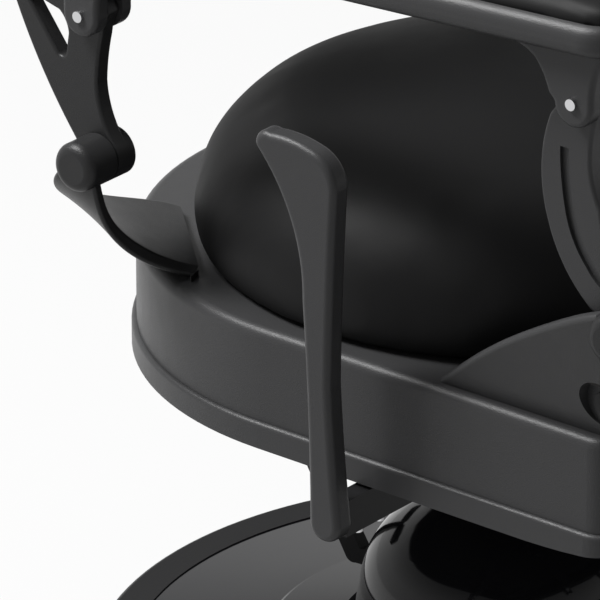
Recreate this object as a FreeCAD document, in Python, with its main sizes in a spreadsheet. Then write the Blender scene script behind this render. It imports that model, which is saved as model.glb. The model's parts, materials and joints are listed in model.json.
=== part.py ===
import FreeCAD, Part
import math
import os
import re
import Sketcher

# Barber chair: round base with a foot pump, swivelling seat in a deep apron, reclining back,
# armrests on a four-bar linkage that also swings the leg rest, and a sliding headrest.
# Millimetres. Z is up, the floor is Z = 0 on the pump axis, the chair faces -Y
# and the sitter's right hand is on the -X side.

doc = FreeCAD.newDocument("BarberChair")
sheet = doc.addObject("Spreadsheet::Sheet", "Sizes")

SIZES = [
    # base and pump
    ("base_radius", 333, "outer radius of the round base"),
    ("rim_width", 31, "width of the dark rim band"),
    ("rim_height", 12, "height of the rim band"),
    ("base_crown", 38, "height of the base at the pump flange"),
    ("base_step", 190, "radius of the ring line on the base"),
    ("base_hollow", 6, "depth of the hollow under the base"),
    ("flange_radius", 88, "radius of the pump flange"),
    ("flange_thick", 12, "thickness of the pump flange"),
    ("flange_bolt_circle", 68, "radius of the flange bolts' circle"),
    ("cylinder_radius", 42, "outer radius of the pump cylinder"),
    ("cylinder_bore", 34, "bore radius of the pump cylinder"),
    ("cylinder_top", 295, "height of the cylinder's top face"),
    ("gland_height", 30, "height of the gland ring"),
    ("piston_radius", 26, "radius of the lifting piston"),
    ("spigot_radius", 20, "radius of the swivel spigot on the piston"),
    ("running_gap", 0.05, "radial clearance of running fits"),
    ("bolt_radius", 5, "shank radius of the larger bolts"),
    ("hole_gap", 0.5, "radial clearance of bolt holes"),
    ("cover_foot", 121, "radius of the bell cover at its foot"),
    ("cover_waist", 116, "radius of the bell cover below its dome"),
    ("cover_shoulder", 75, "height where the dome starts"),
    ("cover_top", 154, "height of the bell cover"),
    ("cover_wall", 3, "wall of the bell cover"),
    # pump pedal
    ("pedal_back", 100, "distance of the pedal pivot behind the pump axis"),
    ("pedal_pivot_height", 62, "height of the pedal pivot"),
    ("pedal_bend", 51.5, "distance from the pedal pivot back to the arm's bend"),
    ("pedal_reach", 124, "distance from the pedal pivot back to the tread"),
    ("pedal_rise", 118, "height of the tread above the pedal pivot"),
    ("pedal_thick", 12, "thickness of the pedal arm"),
    ("pedal_pin_radius", 5, "radius of the pedal pin"),
    ("tread_length", 112, "length of the pedal tread"),
    # seat structure
    ("washer_thick", 3, "thickness of the swivel washer"),
    ("hub_radius", 38, "radius of the seat hub"),
    ("hub_height", 16, "height of the seat hub under its plate"),
    ("plate_thick", 10, "thickness of the seat mounting plate"),
    ("tube_height", 40, "height of the seat frame tubes"),
    ("tube_width", 30, "width of the seat frame tubes"),
    ("tube_wall", 3, "wall of the seat frame tubes"),
    ("cross_rear", -18, "forward place of the rear cross tube"),
    ("cross_front", 225, "forward place of the front cross tube"),
    ("rail_spacing", 110, "distance of each rail from the middle"),
    ("board_thick", 12, "thickness of the seat board"),
    ("pan_half_width", 267, "half width of the seat apron"),
    ("pan_rear_centre", 35, "centre of the rear half round, behind the pump axis"),
    ("pan_front", 302, "forward place of the apron's front wall"),
    ("pan_corner", 22, "front corner radius of the apron"),
    ("pan_depth", 99, "height of the apron"),
    ("pan_wall", 4, "wall of the apron"),
    ("pan_rim_round", 8, "rounding of the apron's top edge"),
    ("ledge_width", 68, "width of the ledge inside the apron's rim"),
    ("lip_height", 21.5, "height of the proud lip at the apron's foot"),
    ("lip_proud", 4, "how far the lip stands out"),
    ("cushion_radius", "=pan_half_width-10", "largest radius of the seat cushion"),
    ("cushion_height", 149, "height of the seat cushion"),
    ("cushion_forward", 9, "forward place of the cushion's centre"),
    # pivots and side castings
    ("pivot_rise", 106, "height of the side pivots above the ledge"),
    ("rear_pivot_back", 187.5, "distance of the back pivot behind the pump axis"),
    ("front_pivot", "=pan_front+25", "forward place of the front strut pivot"),
    ("link_plane", "=pan_half_width+1", "distance of the castings' middle plane from the chair's middle"),
    ("link_thick", 15, "thickness of the side castings"),
    ("side_gap", 1.5, "gap beside the moving castings"),
    ("cast_corner", 4, "rounding of the castings' corners in the side view"),
    ("cast_round", 3, "rounding of the castings' edges"),
    ("boss_radius", 20, "radius of the pivot bosses"),
    ("boss_length", 24, "length of the bracket bosses"),
    ("cap_height", 8, "height of the domed boss caps"),
    ("hub_length", 20, "length of the castings' pivot hubs"),
    ("pivot_pin_radius", 10, "radius of the main pivot pins"),
    ("tongue_thick", 13, "thickness of the front bracket tongues"),
    ("sheet_thick", 9, "thickness of the rear bracket tongues"),
    ("groove_depth", 3, "depth of the groove in the front struts"),
    # armrests
    ("arm_pin_radius", 4.5, "radius of the armrest pins"),
    ("arm_pin_gap", 1.5, "radial clearance at the open front armrest pin"),
    ("arm_pin_proud", 2.5, "how far the armrest pins stand out"),
    ("rear_pin_back", 6.4, "distance of the rear armrest pin behind the back pivot"),
    ("rear_pin_rise", 119.7, "height of the rear armrest pin above the back pivot"),
    ("front_pin_back", 49, "distance of the front armrest pin behind the strut pivot"),
    ("front_pin_rise", 170, "height of the front armrest pin above the strut pivot"),
    ("lug_radius", 17.5, "radius of the armrest lugs"),
    ("lug_width", 44, "width of the armrest forks"),
    ("tray_width", 72, "width of the armrest tray"),
    ("tray_thick", 26, "thickness of the armrest tray"),
    ("tray_rear", -228, "forward place of the tray's rear end"),
    ("tray_front", 330, "forward place of the tray's front end"),
    ("tray_rise", 42, "height of the tray's underside above the front armrest pin"),
    ("tray_slope", 3, "slope of the armrest in degrees"),
    ("tray_pocket", 7, "depth of the pad's recess in the tray"),
    ("tray_edge", 8, "width of the tray's rolled edge"),
    ("arm_pad_height", 22, "height of the armrest pad"),
    # hand lever and gas spring
    ("lever_forward", 68, "forward place of the lever shaft"),
    ("lever_drop", 18, "distance of the lever shaft below the apron"),
    ("lever_plane", "=pan_half_width+lip_proud+27", "distance of the lever's inner face from the chair's middle"),
    ("lever_thick", 20, "thickness of the hand lever"),
    ("lever_length", 310, "height of the lever's head above its shaft"),
    ("bar_height", 30, "height of the lever's flat bar"),
    ("bar_thick", 16, "thickness of the lever's flat bar"),
    ("bar_length", 120, "length of the lever's flat bar"),
    ("shaft_radius", 11, "radius of the lever shaft"),
    ("gas_anchor", 100, "forward place of the gas spring's fixed eye"),
    ("gas_drop", 228, "distance of the gas spring below the side pivots"),
    ("gas_radius", 14, "outer radius of the gas spring"),
    ("gas_length", 145, "length of the gas spring's cylinder"),
    ("gas_rod_radius", 5, "radius of the gas spring's rod"),
    ("gas_pin_radius", 5, "radius of the gas spring's pins"),
    ("gas_eye_gap", 3.2, "radial clearance in the rod's open eye"),
    # leg rest
    ("leg_plane", "=pan_half_width-43", "distance of the leg arms' inner faces from the chair's middle"),
    ("leg_arm_thick", 16, "thickness of the leg arms"),
    ("leg_arm_width", 34, "width of the leg arms"),
    ("leg_drop", 360, "distance from the front pivot down to the footplate hinge"),
    ("leg_tube_drop", 176, "distance from the front pivot down to the cross tube"),
    ("leg_tube_radius", 12, "radius of the leg rest's cross tube"),
    ("calf_top_drop", 44, "distance from the front pivot down to the calf board's top"),
    ("calf_height", 128, "height of the calf board"),
    ("calf_board_thick", 8, "thickness of the calf board"),
    ("calf_pad_thick", 42, "thickness of the calf pad"),
    ("foot_rod_radius", 8, "radius of the footplate's hinge rod"),
    ("foot_length", 172, "length of the footplate"),
    ("foot_half_width", "=leg_plane-24", "half width of the footplate"),
    ("foot_thick", 9, "thickness of the footplate"),
    ("tread_rib", 3, "height of the footplate's rubber ribs"),
    # backrest and headrest
    ("back_lean", 8, "lean of the upright back in degrees"),
    ("back_rear", 255, "distance of the board's lower front edge behind the pump axis"),
    ("back_rise", 55, "height of the board's lower edge above the pivots"),
    ("back_half_width", 222, "half width of the back pad"),
    ("back_height", 455, "height of the back pad"),
    ("back_pad_thick", 76, "thickness of the back pad at its crown"),
    ("back_board_thick", 12, "thickness of the back board"),
    ("crossbar_height", 64, "height of the back's cross bar"),
    ("crossbar_thick", 9, "thickness of the back's cross bar"),
    ("post_width", 32, "width of the headrest post"),
    ("post_thick", 10, "thickness of the headrest post"),
    ("post_length", 285, "length of the headrest post"),
    ("socket_height", 60, "height of the headrest socket"),
    ("slide_gap", 0.05, "clearance of the headrest post on each side"),
    ("head_half_width", 130, "half width of the headrest pad"),
    ("head_height", 130, "height of the headrest pad"),
    ("head_pad_thick", 66, "thickness of the headrest pad"),
    ("knob_radius", 17, "radius of the clamp knob"),
]

NAMES = set()
for row, (name, number, meaning) in enumerate(SIZES, start=1):
    sheet.set("A%d" % row, meaning)
    sheet.set("B%d" % row, str(number))
    sheet.setAlias("B%d" % row, name)
    NAMES.add(name)
doc.recompute()

# Places that several pieces share, written with the sizes above.
GLAND_TOP = "(cylinder_top+2)"
WASHER_Z = "(cylinder_top+8)"
HUB_Z = "(cylinder_top+8+washer_thick)"
PLATE_Z = "(cylinder_top+8+washer_thick+hub_height)"
FRAME_Z = "(cylinder_top+8+washer_thick+hub_height+plate_thick)"
BOARD_Z = "(cylinder_top+8+washer_thick+hub_height+plate_thick+tube_height)"
LEDGE_Z = "(cylinder_top+8+washer_thick+hub_height+plate_thick+tube_height+board_thick)"
PAN_FOOT = "(%s-pan_depth)" % LEDGE_Z
PIVOT_Z = "(%s+pivot_rise)" % LEDGE_Z
LEVER_Z = "(%s-lever_drop)" % PAN_FOOT
REAR_PIN = ("(0-rear_pivot_back-rear_pin_back)", "(%s+rear_pin_rise)" % PIVOT_Z)
FRONT_PIN = ("(front_pivot-front_pin_back)", "(%s+front_pin_rise)" % PIVOT_Z)
LINK_OUT = "(link_plane+link_thick/2)"
LINK_IN = "(link_plane-link_thick/2)"
BOSS_IN = "(link_plane+link_thick/2+side_gap)"
GAS_Z = "(%s-gas_drop)" % PIVOT_Z
FOOT_Z = "(%s-leg_drop)" % PIVOT_Z
QUARTER = 1 - math.sqrt(0.5)

nodes = {}


def full(expression):
    """Write an expression with the sheet's name before each size."""
    def with_sheet(match):
        word = match.group(0)
        return "Sizes." + word if word in NAMES else word
    return re.sub(r"[A-Za-z_]+", with_sheet, str(expression))


def size(expression):
    """Value of an expression of sizes."""
    return float(sheet.evalExpression(full(expression)))


def node(label, item):
    """Name a finished sub-part: its label is its file's name."""
    item.Label = label
    nodes[label] = item
    return item


def bind(item, **expressions):
    """Bind properties to sizes; two underscores stand for a dot."""
    for name, expression in expressions.items():
        item.setExpression(name.replace("__", "."), full(expression))
    return item


def put(item, x="0", y="0", z="0"):
    """Bind the place of an object's origin."""
    return bind(item, Placement__Base__x=x, Placement__Base__y=y, Placement__Base__z=z)


def side(points):
    """Side view points (forward, height, bulge) as points of the YZ plane."""
    turned = []
    for point in points:
        bulge = tuple("-(%s)" % item for item in point[2:])
        turned.append(("-(%s)" % point[0], point[1]) + bulge)
    return turned


def circle(x, y, radius):
    return ("circle", str(x), str(y), str(radius))


def side_circle(forward, height, radius):
    return circle("-(%s)" % forward, height, radius)


def rectangle(x_low, y_low, x_high, y_high):
    return [(x_low, y_low), (x_high, y_low), (x_high, y_high), (x_low, y_high)]


class Piece:
    """A body made of padded, turned and cut outlines, all bound to the sheet."""

    def __init__(self, label):
        self.body = doc.addObject("PartDesign::Body", label + "_body")
        self.label = label

    def fix(self, sketch, kind, geometry, point, expression):
        value = size(expression)
        constraint = Sketcher.Constraint(kind, -1, 1, geometry, point, value)
        number = sketch.addConstraint(constraint)
        sketch.setExpression("Constraints[%d]" % number, full(expression))

    def draw_circle(self, sketch, loop):
        x, y, radius = loop[1:]
        centre = FreeCAD.Vector(size(x), size(y), 0)
        up = FreeCAD.Vector(0, 0, 1)
        index = sketch.addGeometry(Part.Circle(centre, up, size(radius)))
        self.fix(sketch, "DistanceX", index, 3, x)
        self.fix(sketch, "DistanceY", index, 3, y)
        number = sketch.addConstraint(Sketcher.Constraint("Radius", index, size(radius)))
        sketch.setExpression("Constraints[%d]" % number, full(radius))

    def draw_arc(self, sketch, first, last, bulge):
        """Arc from first to last that stands out to the left by the bulge."""
        start = FreeCAD.Vector(size(first[0]), size(first[1]), 0)
        end = FreeCAD.Vector(size(last[0]), size(last[1]), 0)
        rise = size(bulge)
        chord = end - start
        left = FreeCAD.Vector(-chord.y, chord.x, 0).normalize()
        radius = chord.Length ** 2 / (8 * abs(rise)) + abs(rise) / 2
        toward = 1 if rise > 0 else -1
        centre = (start + end) * 0.5 + left * (rise - toward * radius)
        clockwise = rise > 0
        begin, finish = (end, start) if clockwise else (start, end)
        low = math.atan2(begin.y - centre.y, begin.x - centre.x)
        high = math.atan2(finish.y - centre.y, finish.x - centre.x)
        if high <= low:
            high += 2 * math.pi
        ring = Part.Circle(centre, FreeCAD.Vector(0, 0, 1), radius)
        index = sketch.addGeometry(Part.ArcOfCircle(ring, low, high))
        number = sketch.addConstraint(Sketcher.Constraint("Radius", index, radius))
        span = "((%s)-(%s))^2+((%s)-(%s))^2" % (last[0], first[0], last[1], first[1])
        rule = "(%s)/(8*abs(%s))+abs(%s)/2" % (span, bulge, bulge)
        sketch.setExpression("Constraints[%d]" % number, full(rule))
        return index, (2 if clockwise else 1), (1 if clockwise else 2)

    def draw_loop(self, sketch, loop):
        if loop[0] == "circle":
            self.draw_circle(sketch, loop)
            return
        points = [tuple(str(item) for item in point) for point in loop]
        if points[0][:2] == points[-1][:2]:
            # the closing edge is an arc: the first point is written again with its bulge
            points[0] = points.pop()
        ends = []
        for number, point in enumerate(points):
            previous = points[number - 1]
            if len(point) == 3:
                ends.append(self.draw_arc(sketch, previous, point, point[2]))
            else:
                start = FreeCAD.Vector(size(previous[0]), size(previous[1]), 0)
                end = FreeCAD.Vector(size(point[0]), size(point[1]), 0)
                ends.append((sketch.addGeometry(Part.LineSegment(start, end)), 1, 2))
        for number, point in enumerate(points):
            index, first, last = ends[number]
            following = ends[(number + 1) % len(ends)]
            joint = Sketcher.Constraint("Coincident", index, last, following[0], following[1])
            sketch.addConstraint(joint)
            self.fix(sketch, "DistanceX", index, last, point[0])
            self.fix(sketch, "DistanceY", index, last, point[1])

    def sketch(self, plane, loops, start):
        sketch = self.body.newObject("Sketcher::SketchObject", self.label + "_outline")
        support = [item for item in self.body.Origin.OriginFeatures if item.Role == plane][0]
        sketch.AttachmentSupport = [(support, "")]
        sketch.MapMode = "FlatFace"
        sketch.setExpression("AttachmentOffset.Base.z", full(start))
        for loop in loops:
            self.draw_loop(sketch, loop)
        return sketch

    def feature(self, kind, plane, loops, start, length):
        sketch = self.sketch(plane, loops, start)
        feature = self.body.newObject("PartDesign::" + kind, self.label + "_" + kind.lower())
        feature.Profile = sketch
        bind(feature, Length=length)
        return feature

    def pad(self, plane, loops, start, length):
        self.feature("Pad", plane, loops, start, length)
        return self

    def cut(self, plane, loops, start, length):
        pocket = self.feature("Pocket", plane, loops, start, length)
        pocket.Reversed = True
        return self

    def turn(self, loops, plane="XZ_Plane", axis="V_Axis"):
        sketch = self.sketch(plane, loops, "0")
        feature = self.body.newObject("PartDesign::Revolution", self.label + "_turned")
        feature.Profile = sketch
        feature.ReferenceAxis = (sketch, [axis])
        feature.Angle = 360
        return self

    def round_edges(self, radius, wanted):
        """Round the edges that the test picks out."""
        doc.recompute()
        base = self.body.Tip
        names = []
        for number, edge in enumerate(base.Shape.Edges, start=1):
            if wanted(edge):
                names.append("Edge%d" % number)
        fillet = self.body.newObject("PartDesign::Fillet", self.label + "_rounded")
        fillet.Base = (base, names)
        bind(fillet, Radius=radius)
        return self

    def done(self):
        return node(self.label, self.body)


def side_plate(label, loops, outer, thick):
    """Plate of the sitter's right side, between two distances from the chair's middle."""
    return Piece(label).pad("YZ_Plane", loops, "0-(%s)" % outer, thick)


def wire(loop, stand):
    """Closed wire of an outline's points; stand turns a plane point and its height into space."""
    points = [tuple(str(item) for item in point) for point in loop]
    if points[0][:2] == points[-1][:2]:
        points[0] = points.pop()
    edges = []
    for number, point in enumerate(points):
        first = FreeCAD.Vector(size(points[number - 1][0]), size(points[number - 1][1]), 0)
        last = FreeCAD.Vector(size(point[0]), size(point[1]), 0)
        if len(point) == 3:
            chord = last - first
            left = FreeCAD.Vector(-chord.y, chord.x, 0).normalize()
            middle = (first + last) * 0.5 + left * size(point[2])
            edges.append(Part.Arc(stand(first), stand(middle), stand(last)).toShape())
        else:
            edges.append(Part.LineSegment(stand(first), stand(last)).toShape())
    return Part.Wire(edges)


def evened(face, corner):
    """Face whose corners are rounded by insets and outsets in its own plane."""
    blunt = face.makeOffset2D(-corner).makeOffset2D(corner)
    return blunt.makeOffset2D(corner).makeOffset2D(-corner).Faces[0]


def cast_plate(label, loops, outer, thick, corner, rounding, bore=None):
    """Side plate with rounded corners and edges; its first loop is the outline, the others are openings.
    A bore, given by its forward place, height and radius, keeps its sharp edge."""
    start = -size(outer)
    way = FreeCAD.Vector(size(thick), 0, 0)

    def stand(point):
        return FreeCAD.Vector(start, point.x, point.y)

    forms = [evened(Part.Face(wire(loop, stand)), size(corner)).extrude(way) for loop in loops]
    plate = forms[0]
    for opening in forms[1:]:
        plate = plate.cut(opening)
    if bore:
        forward, height, radius = (size(item) for item in bore)
        plate = plate.cut(Part.makeCylinder(radius, size(thick), FreeCAD.Vector(start, -forward, height),
                                            FreeCAD.Vector(1, 0, 0)))
    edges = [edge for edge in plate.Edges if edge.BoundBox.XLength < 0.01 and not edge.isClosed()]
    blank = doc.addObject("Part::Feature", label + "_blank")
    blank.Shape = plate.makeFillet(size(rounding), edges)
    piece = Piece(label)
    piece.body.BaseFeature = blank
    return piece


def mirrored(label, source):
    """The same piece on the sitter's left."""
    copy = doc.addObject("Part::Mirroring", label + "_mirror")
    copy.Source = source
    copy.Normal = (1, 0, 0)
    copy.Base = (0, 0, 0)
    return node(label, copy)


def rod_x(name, radius, x, length, forward, height):
    """Round rod along X, starting at x."""
    rod = doc.addObject("Part::Cylinder", name)
    rod.Placement.Rotation = FreeCAD.Rotation(FreeCAD.Vector(0, 1, 0), 90)
    bind(rod, Radius=radius, Height=length)
    return put(rod, x, "-(%s)" % forward, height)


def group(label, items):
    """Separate solids that share a node."""
    compound = doc.addObject("Part::Compound", label + "_group")
    compound.Links = items
    return node(label, compound)


def joined(label, items):
    fuse = doc.addObject("Part::MultiFuse", label + "_fuse")
    fuse.Shapes = items
    fuse.Refine = True
    return node(label, fuse)


def lean(item):
    """Stand a piece that was drawn upright on the leaning back."""
    item.Placement.Rotation = FreeCAD.Rotation(FreeCAD.Vector(-1, 0, 0), size("back_lean"))
    bind(item, Placement__Rotation__Angle="back_lean")
    return put(item, "0", "back_rear", "%s+back_rise" % PIVOT_Z)


def hex_bolt(name, x, y, seat, shank):
    """Hexagon bolt with its head on the seat and its shank below."""
    head = doc.addObject("Part::Prism", name + "_head")
    head.Polygon = 6
    bind(head, Circumradius="bolt_radius*2", Height="bolt_radius*1.4")
    put(head, x, y, seat)
    stem = doc.addObject("Part::Cylinder", name + "_stem")
    bind(stem, Radius="bolt_radius", Height=shank)
    put(stem, x, y, "%s-(%s)" % (seat, shank))
    bolt = doc.addObject("Part::Fuse", name)
    bolt.Base = head
    bolt.Tool = stem
    return bolt


def ball_bulge(radius, rise):
    """Bulge of the arc from a spherical cap's edge to its crown."""
    chord = "((%s)^2+(%s)^2)" % (radius, rise)
    ball = "(%s/(2*(%s)))" % (chord, rise)
    return "(%s-sqrt(%s^2-%s/4))" % (ball, ball, chord)


def dome(label, x, forward, height, radius, rise, toward):
    """Cap on the X axis with a well rounded edge, seat at x, its face towards -X or +X."""
    cap = Piece(label)
    edge = "%d*(%s)*0.1" % (toward, rise)
    face = "%d*(%s)" % (toward, rise)
    flat = "(%s)*0.62" % radius
    round_bulge = "%d*(%s)*0.22" % (toward, rise)
    cap.turn([[("0", "0"), ("0", radius), (edge, radius), (face, flat, round_bulge),
               (face, "0")]], "XY_Plane", "H_Axis")
    return put(cap.body, x, "-(%s)" % forward, height)


def flange_spots(ring):
    """Places of six bolts on a circle."""
    for number in range(6):
        angle = math.radians(60 * number + 30)
        yield "%s*%.6f" % (ring, math.cos(angle)), "%s*%.6f" % (ring, math.sin(angle))


# Base: shallow cone with a hollow underside, a rim band and a flat pad for the pedal bracket.

def make_base():
    inner = "(base_radius-rim_width)"
    plate = Piece("base_plate")
    plate.turn([[("0", "base_hollow"), ("%s-40" % inner, "base_hollow"), ("%s-34" % inner, "0"),
                 (inner, "0"), (inner, "rim_height-2"), ("base_step+3", "base_crown-12"),
                 ("base_step", "base_crown-10"), ("flange_radius+45", "base_crown"),
                 ("0", "base_crown")]])
    holes = [circle(x, y, "bolt_radius+hole_gap") for x, y in flange_spots("flange_bolt_circle")]
    plate.cut("XY_Plane", holes, "base_crown-22", "22")
    plate.done()

    rim = Piece("base_rim")
    rim.turn([[(inner, "0"), ("base_radius-5", "0"), ("base_radius-5", "rim_height", "-5"),
               (inner, "rim_height-1")]])
    rim.done()


make_base()


# Pump: flanged cylinder, gland, bolts and bell cover.

def make_pump():
    floor = "(base_crown+flange_thick)"
    cylinder = Piece("pump_cylinder")
    cylinder.turn([[("0", "base_crown"), ("flange_radius", "base_crown"), ("flange_radius", floor),
                    ("cylinder_radius", floor), ("cylinder_radius", "cylinder_top"),
                    ("cylinder_bore", "cylinder_top"), ("cylinder_bore", "%s+8" % floor),
                    ("0", "%s+8" % floor)]])
    holes = [circle(x, y, "bolt_radius+hole_gap") for x, y in flange_spots("flange_bolt_circle")]
    cylinder.cut("XY_Plane", holes, "base_crown", "flange_thick")
    cylinder.done()

    bolts = []
    for number, (x, y) in enumerate(flange_spots("flange_bolt_circle")):
        bolts.append(hex_bolt("flange_bolt_%d" % number, x, y, floor, "flange_thick+20"))
    group("pump_bolts", bolts)

    gland = Piece("gland_ring")
    gland.turn([[("piston_radius+running_gap", "cylinder_top-gland_height"),
                 ("cylinder_bore", "cylinder_top-gland_height"), ("cylinder_bore", "cylinder_top"),
                 ("cylinder_radius-2", "cylinder_top"), ("cylinder_radius-2", GLAND_TOP),
                 ("piston_radius+running_gap", GLAND_TOP)]])
    gland.done()

    foot = "(base_crown+0.5)"
    neck = "(cylinder_radius+1)"
    cover = Piece("pump_cover")
    bend = ("cover_waist-21", "(cover_shoulder+0.62*(cover_top-cover_shoulder))")
    cover.turn([[("cover_foot", foot), ("cover_waist", "cover_shoulder", "0-1"), (*bend, "0-5.2"),
                 (neck, "cover_top", "0-3.9"), (neck, "cover_top-cover_wall"),
                 ("%s-0.75*cover_wall" % bend[0], "%s-0.66*cover_wall" % bend[1], "3.7"),
                 ("cover_waist-cover_wall", "cover_shoulder-0.5", "5"),
                 ("cover_foot-cover_wall", foot, "1")]])
    slot_half = "(pedal_thick/2+4)"
    cover.cut("XZ_Plane", [rectangle("0-%s" % slot_half, foot, slot_half, "pedal_pivot_height+14")],
              "0-cover_foot-10", "60")
    cover.done()


make_pump()


# Pedal: bent arm on a clevis inside the bell cover, with a rubber covered cross bar behind it.

def make_pedal():
    pivot = ("0-pedal_back", "pedal_pivot_height")
    ear_out = "(pedal_thick/2+0.4+6)"
    bracket = Piece("pedal_bracket")
    bracket.pad("XY_Plane", [rectangle("0-%s" % ear_out, "pedal_back-10", ear_out, "pedal_back+13")],
                "base_crown", "4")
    ear = side([("0-pedal_back-12", "base_crown"), ("0-pedal_back-10", "pedal_pivot_height"),
                ("0-pedal_back+10", "pedal_pivot_height", "9.9"), ("0-pedal_back+10", "base_crown")])
    for start in ("0-%s" % ear_out, "pedal_thick/2+0.4"):
        bracket.pad("YZ_Plane", [ear], start, "6")
    bracket.cut("YZ_Plane", [side_circle(*pivot, "pedal_pin_radius")], "0-%s" % ear_out,
                "2*%s" % ear_out)
    bracket.done()

    pin = rod_x("pedal_pin_rod", "pedal_pin_radius", "0-%s-2" % ear_out, "2*%s+4" % ear_out, *pivot)
    node("pedal_pin", pin)

    tip = ("0-pedal_back-pedal_reach", "pedal_pivot_height+pedal_rise")
    bend = "(0-pedal_back-pedal_bend)"
    arm = side_plate("pedal_arm", [side([
        ("%s-6.5" % bend, "pedal_pivot_height-7"), ("%s-5.6" % tip[0], "%s-3.3" % tip[1]),
        ("%s+5.6" % tip[0], "%s+3.3" % tip[1]), ("%s+8.5" % bend, "pedal_pivot_height+3.5"),
        ("0-pedal_back", "pedal_pivot_height+9"), ("0-pedal_back+16", "pedal_pivot_height+7"),
        ("0-pedal_back+16", "pedal_pivot_height-6"), ("0-pedal_back", "pedal_pivot_height-8"),
        ("%s+3.5" % bend, "pedal_pivot_height-10.5"),
        ("%s-6.5" % bend, "pedal_pivot_height-7", "2")])], "pedal_thick/2", "pedal_thick")
    bar_radius = 7
    arm.pad("YZ_Plane", [side_circle(*tip, bar_radius)], "0-tread_length/2", "tread_length")
    arm.cut("YZ_Plane", [side_circle(*pivot, "pedal_pin_radius+running_gap")], "0-pedal_thick",
            "2*pedal_thick")
    arm.done()

    sleeves = []
    for start in ("0-tread_length/2", "pedal_thick/2+2"):
        sleeve = Piece("tread_sleeve")
        sleeve.pad("YZ_Plane", [side_circle(*tip, bar_radius + 7), side_circle(*tip, bar_radius)],
                   start, "tread_length/2-pedal_thick/2-2")
        sleeves.append(sleeve.body)
    group("pedal_treads", sleeves)


make_pedal()


# Lift: piston with its head in the cylinder and the swivel spigot on top.

def make_lift():
    low = "(base_crown+flange_thick+14)"
    piston = Piece("lift_piston")
    piston.turn([[("0", low), ("cylinder_bore-running_gap", low),
                  ("cylinder_bore-running_gap", "%s+14" % low), ("piston_radius", "%s+14" % low),
                  ("piston_radius", WASHER_Z), ("spigot_radius", WASHER_Z),
                  ("spigot_radius", "%s-1" % FRAME_Z), ("0", "%s-1" % FRAME_Z)]])
    piston.done()
    washer = Piece("swivel_washer")
    washer.turn([[("spigot_radius+running_gap", WASHER_Z), ("hub_radius-4", WASHER_Z),
                  ("hub_radius-4", HUB_Z), ("spigot_radius+running_gap", HUB_Z)]])
    washer.done()


make_lift()


# Seat: hub plate, tube frame, board, apron and cushion.

def pan_loop(inset, corner):
    """Plan of the apron: half round at the rear, straight sides, small front corners."""
    half = "(pan_half_width-(%s))" % inset
    front = "(pan_front-(%s))" % inset
    rear = "pan_rear_centre"
    round_bulge = "0-%.6f*%s" % (QUARTER, half)
    corner_bulge = "0-%.6f*(%s)" % (QUARTER, corner)
    return [(half, rear), ("0", "%s+%s" % (rear, half), round_bulge),
            ("0-%s" % half, rear, round_bulge), ("0-%s" % half, "0-%s+(%s)" % (front, corner)),
            ("0-%s+(%s)" % (half, corner), "0-%s" % front, corner_bulge),
            ("%s-(%s)" % (half, corner), "0-%s" % front),
            (half, "0-%s+(%s)" % (front, corner), corner_bulge)]


def make_seat_frame():
    plate = Piece("seat_mount_plate")
    plate.turn([[("spigot_radius+running_gap", HUB_Z), ("hub_radius", HUB_Z), ("hub_radius", PLATE_Z),
                 ("spigot_radius+running_gap", PLATE_Z)]])
    hole = circle(0, 0, "spigot_radius+running_gap")
    plate.pad("XY_Plane", [rectangle("0-rail_spacing-25", "0-cross_front-tube_width/2",
                                     "rail_spacing+25", "0-cross_rear+tube_width/2"), hole],
              PLATE_Z, "plate_thick")
    plate.done()

    def tube(label, plane, low, start, length):
        outer = rectangle("(%s)-tube_width/2" % low, FRAME_Z, "(%s)+tube_width/2" % low, BOARD_Z)
        inner = rectangle("(%s)-tube_width/2+tube_wall" % low, "%s+tube_wall" % FRAME_Z,
                          "(%s)+tube_width/2-tube_wall" % low, "%s-tube_wall" % BOARD_Z)
        return Piece(label).pad(plane, [outer, inner], start, length).body

    half = "(pan_half_width-pan_wall)"
    group("seat_cross_tubes", [
        tube("cross_tube_rear", "YZ_Plane", "0-cross_rear", "0-%s" % half, "2*%s" % half),
        tube("cross_tube_front", "YZ_Plane", "0-cross_front", "0-%s" % half, "2*%s" % half)])
    group("seat_rails", [
        tube("rail_tube", "XZ_Plane", place, "cross_rear+tube_width/2",
             "cross_front-cross_rear-tube_width") for place in ("0-rail_spacing", "rail_spacing")])

    board = Piece("seat_board")
    board.pad("XY_Plane", [pan_loop("ledge_width+1", "12")], BOARD_Z, "board_thick")
    board.done()


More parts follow.
